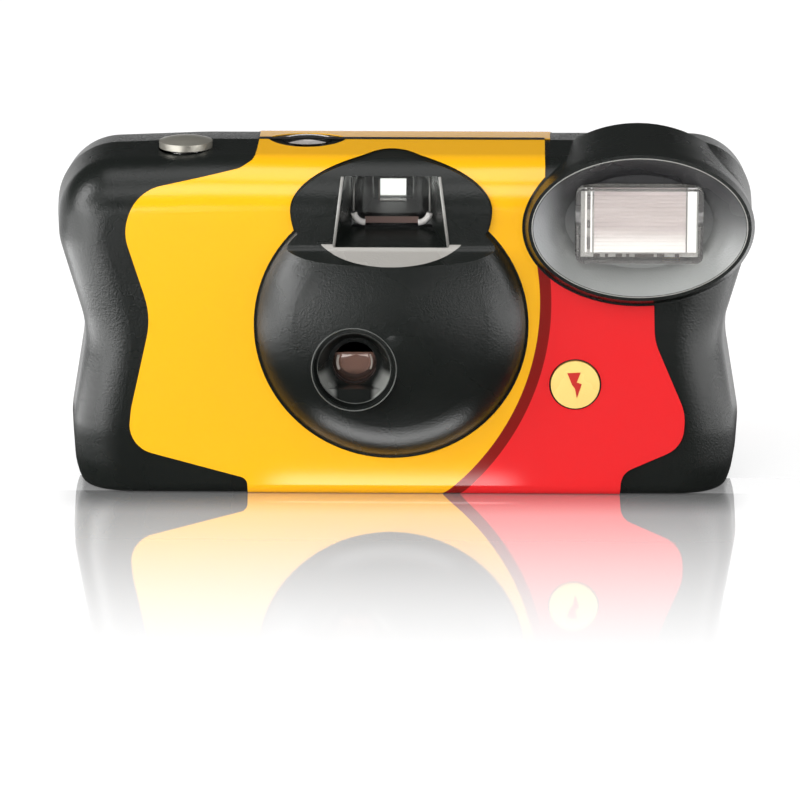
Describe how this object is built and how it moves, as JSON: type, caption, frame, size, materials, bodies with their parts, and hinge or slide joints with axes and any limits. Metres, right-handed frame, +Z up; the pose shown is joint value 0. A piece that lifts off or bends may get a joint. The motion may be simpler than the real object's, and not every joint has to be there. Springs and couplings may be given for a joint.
{
  "type": "disposable film camera",
  "caption": "Single-use 35 mm film camera with built-in flash: wavy black drafted covers, yellow and red label, domed lens panel, film, advance, shutter and flash parts inside.",
  "frame": {"origin": "centre of the overall bounding box's bottom, on the surface the camera stands on", "axes": "+X to the right seen from the front (the flash side), front faces -Y, +Z up"},
  "size_m": [0.118, 0.037, 0.061],
  "materials": {
    "black_case": "satin moulded black plastic",
    "label_yellow_red": "printed plastic label, plain colour fields",
    "black_inner": "matt black plastic",
    "grey_plastic": "silver-grey painted plastic",
    "clear_plastic": "clear moulded plastic",
    "lens_plastic": "clear lens with a brownish sheen",
    "white_plastic": "plain white plastic",
    "yellow_button": "yellow gloss plastic",
    "steel": "bright spring steel",
    "bright_metal": "bright rolled aluminium",
    "can_metal": "plain painted sheet metal",
    "film": "brown film",
    "board": "green-brown circuit board",
    "cell": "plain cell sleeve",
    "brass": "plated brass strip",
    "copper_winding": "taped winding",
    "tube_glass": "clear glass tube"
  },
  "bodies": {
    "casing": {"aperture_plate": "black_inner", "battery": "cell", "battery_contact_minus": "brass", "battery_contact_plus": "brass", "blade_spring": "steel", "board_components": "black_inner", "button_spring": "steel", "capacitor": "can_metal", "cartridge_end_caps": "can_metal", "cartridge_shell": "can_metal", "charge_contact": "brass", "circuit_board": "board", "counter_window": "clear_plastic", "film_strip": "film", "flash_reflector": "bright_metal", "flash_tube": "tube_glass", "flash_window": "clear_plastic", "front_cover": "black_case", "front_label": "label_yellow_red", "lens_retainer": "black_inner", "main_frame": "black_inner", "ready_light": "lens_plastic", "rear_cover": "black_case", "rear_label": "label_yellow_red", "shutter_housing": "black_inner", "striker_spring": "steel", "sync_contact": "brass", "taking_lens": "lens_plastic", "transformer": "copper_winding", "trigger_coil": "copper_winding", "tube_leads": "steel", "viewfinder_eyepiece": "clear_plastic", "viewfinder_front_lens": "clear_plastic", "viewfinder_housing": "black_inner"},
    "wheel_body": {"thumb_wheel": "black_case", "cartridge_spool": "black_inner"},
    "supply_body": {"supply_spool": "black_inner", "film_roll": "film"},
    "sprocket_body": {"sprocket_wheel": "white_plastic", "metering_cam": "white_plastic"},
    "counter_body": {"counter_wheel": "white_plastic"},
    "button_body": {"shutter_button": "grey_plastic"},
    "release_body": {"release_lever": "white_plastic"},
    "striker_body": {"striker_lever": "white_plastic"},
    "blade_body": {"shutter_blade": "steel"},
    "flash_button_body": {"flash_button": "yellow_button"}
  },
  "joints": [
    {"name": "wind_on", "type": "hinge", "parent": "casing", "child": "wheel_body", "pos_m": [-0.0397, 0.0036, 0.048], "axis": [0, 0, 1], "continuous": true, "deforming": ["film_strip"]},
    {"name": "supply_turn", "type": "hinge", "parent": "casing", "child": "supply_body", "pos_m": [0.0235, 0.0055, 0.02365], "axis": [0, 0, 1], "continuous": true},
    {"name": "sprocket_turn", "type": "hinge", "parent": "casing", "child": "sprocket_body", "pos_m": [-0.018, 0.0093, 0.03775], "axis": [0, 0, 1], "continuous": true},
    {"name": "counter_turn", "type": "hinge", "parent": "casing", "child": "counter_body", "pos_m": [-0.0185, -0.0005, 0.0532], "axis": [0, 0, 1], "continuous": true},
    {"name": "shutter_press", "type": "slide", "parent": "casing", "child": "button_body", "axis": [0, 0, -1], "range_m": [0, 0.0012], "stiffness_N_per_m": 400, "springref_m": -0.0008, "deforming": ["button_spring"]},
    {"name": "release_rock", "type": "hinge", "parent": "casing", "child": "release_body", "pos_m": [-0.0276, -0.00445, 0.0523], "axis": [0, -1, 0], "range_deg": [0, 9]},
    {"name": "striker_swing", "type": "hinge", "parent": "casing", "child": "striker_body", "pos_m": [-0.0185, -0.0005, 0.0481], "axis": [0, 0, 1], "range_deg": [0, 30]},
    {"name": "blade_swing", "type": "hinge", "parent": "casing", "child": "blade_body", "pos_m": [-0.0155, -0.009, 0.0305], "axis": [0, 1, 0], "range_deg": [0, 27], "stiffness_Nm_per_rad": 0.0004},
    {"name": "flash_press", "type": "slide", "parent": "casing", "child": "flash_button_body", "axis": [0, 1, 0], "range_m": [0, 0.0008], "stiffness_N_per_m": 400, "springref_m": -0.0006}
  ],
  "couplings": [
    {"joint": "supply_turn", "follows": "wind_on", "ratio": 0.7},
    {"joint": "sprocket_turn", "follows": "wind_on", "ratio": 1},
    {"joint": "counter_turn", "follows": "wind_on", "ratio": -0.033333},
    {"joint": "release_rock", "follows": "shutter_press", "rad_per_m": 125},
    {"joint": "striker_swing", "follows": "blade_swing", "ratio": 1.11}
  ]
}
